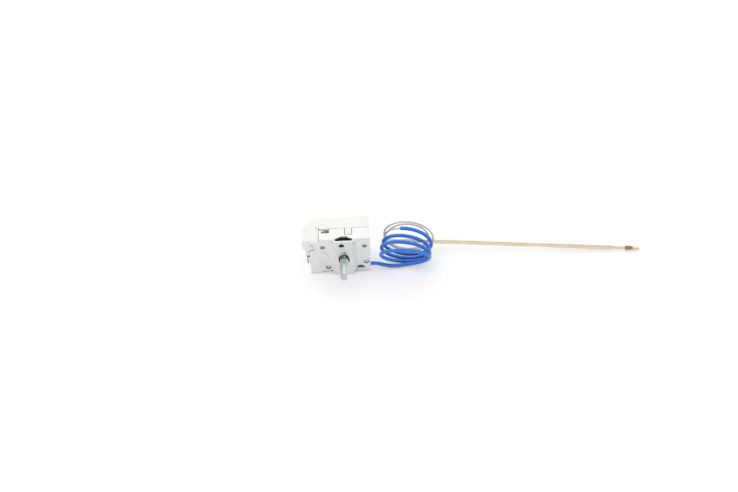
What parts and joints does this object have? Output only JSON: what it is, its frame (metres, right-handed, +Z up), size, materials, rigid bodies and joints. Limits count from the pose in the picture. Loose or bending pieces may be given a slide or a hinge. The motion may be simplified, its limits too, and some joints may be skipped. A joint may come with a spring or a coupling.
{
  "type": "adjustable thermostat",
  "caption": "Capillary thermostat: folded steel bracket, ceramic switch body, D-shaped control spindle, coiled blue-sleeved capillary and long thin sensing bulb.",
  "frame": {"origin": "on the floor at the middle of the body, spindle and terminals, seen from above and leaving out the capillary and its bulb", "axes": "+Z up, the spindle points along -Y, the capillary leaves along +X"},
  "size_m": [0.23, 0.0536, 0.0341],
  "materials": {
    "zinc_sheet": "bright zinc plating on folded sheet",
    "steatite_front": "unglazed pressed ceramic",
    "steatite_back": "unglazed pressed ceramic",
    "steatite_pin": "unglazed ceramic",
    "rivet_steel": "zinc plated",
    "dark_steel": "blackened turned steel",
    "spindle_steel": "turned and zinc plated",
    "stainless": "bright pressed stainless sheet",
    "spring_bronze": "rolled bronze strip",
    "contact_silver": "bright contact metal",
    "terminal_brass": "stamped brass",
    "earth_brass": "stamped brass, dull",
    "blue_sleeve": "smooth extruded sleeve",
    "capillary_steel": "drawn tube, satin",
    "bulb_metal": "drawn tube, warm satin nickel tone",
    "braze": "dark brazed joint",
    "tip_metal": "flattened tube end"
  },
  "bodies": {
    "frame": {"front_bracket": "zinc_sheet", "ceramic_carrier": "steatite_front", "switch_housing": "steatite_back", "clamp_rivets": "rivet_steel", "threaded_bush": "dark_steel", "fixed_contact": "contact_silver", "load_terminal": "terminal_brass", "line_terminal": "terminal_brass", "lever_spring": "stainless", "earth_tab": "earth_brass", "earth_rivet": "rivet_steel", "inner_capillary": "capillary_steel", "inner_sleeve": "blue_sleeve", "sleeve_bush": "blue_sleeve", "sleeve_lead": "blue_sleeve", "capillary_coil": "blue_sleeve", "capillary_tail": "capillary_steel", "bulb_neck": "bulb_metal", "sensing_bulb": "bulb_metal", "bulb_braze": "braze", "bulb_tip": "tip_metal"},
    "capsule": {"diaphragm_capsule": "stainless"},
    "control_spindle": {"spindle": "spindle_steel", "stop_disc": "dark_steel"},
    "thrust_pin": {"push_pin": "steatite_pin"},
    "lever": {"contact_lever": "spring_bronze", "moving_contact": "contact_silver"}
  },
  "joints": [
    {"name": "screw_advance", "type": "slide", "parent": "frame", "child": "capsule", "axis": [0, 1, 0], "range_m": [-0.0006, 0]},
    {"name": "spindle_turn", "type": "hinge", "parent": "capsule", "child": "control_spindle", "pos_m": [0.005, -0.00725, 0.0127], "axis": [0, 1, 0], "range_deg": [0, 270]},
    {"name": "pin_travel", "type": "slide", "parent": "frame", "child": "thrust_pin", "axis": [0, 1, 0], "range_m": [-0.0006, 0]},
    {"name": "lever_rock", "type": "hinge", "parent": "frame", "child": "lever", "pos_m": [0.0114, 0.01045, 0.0127], "axis": [0, 0, 1], "range_deg": [0, 5.5]}
  ],
  "couplings": [
    {"joint": "spindle_turn", "follows": "screw_advance", "rad_per_m": -7853.9},
    {"joint": "pin_travel", "follows": "screw_advance", "ratio": 1},
    {"joint": "lever_rock", "follows": "screw_advance", "rad_per_m": -155.8}
  ]
}
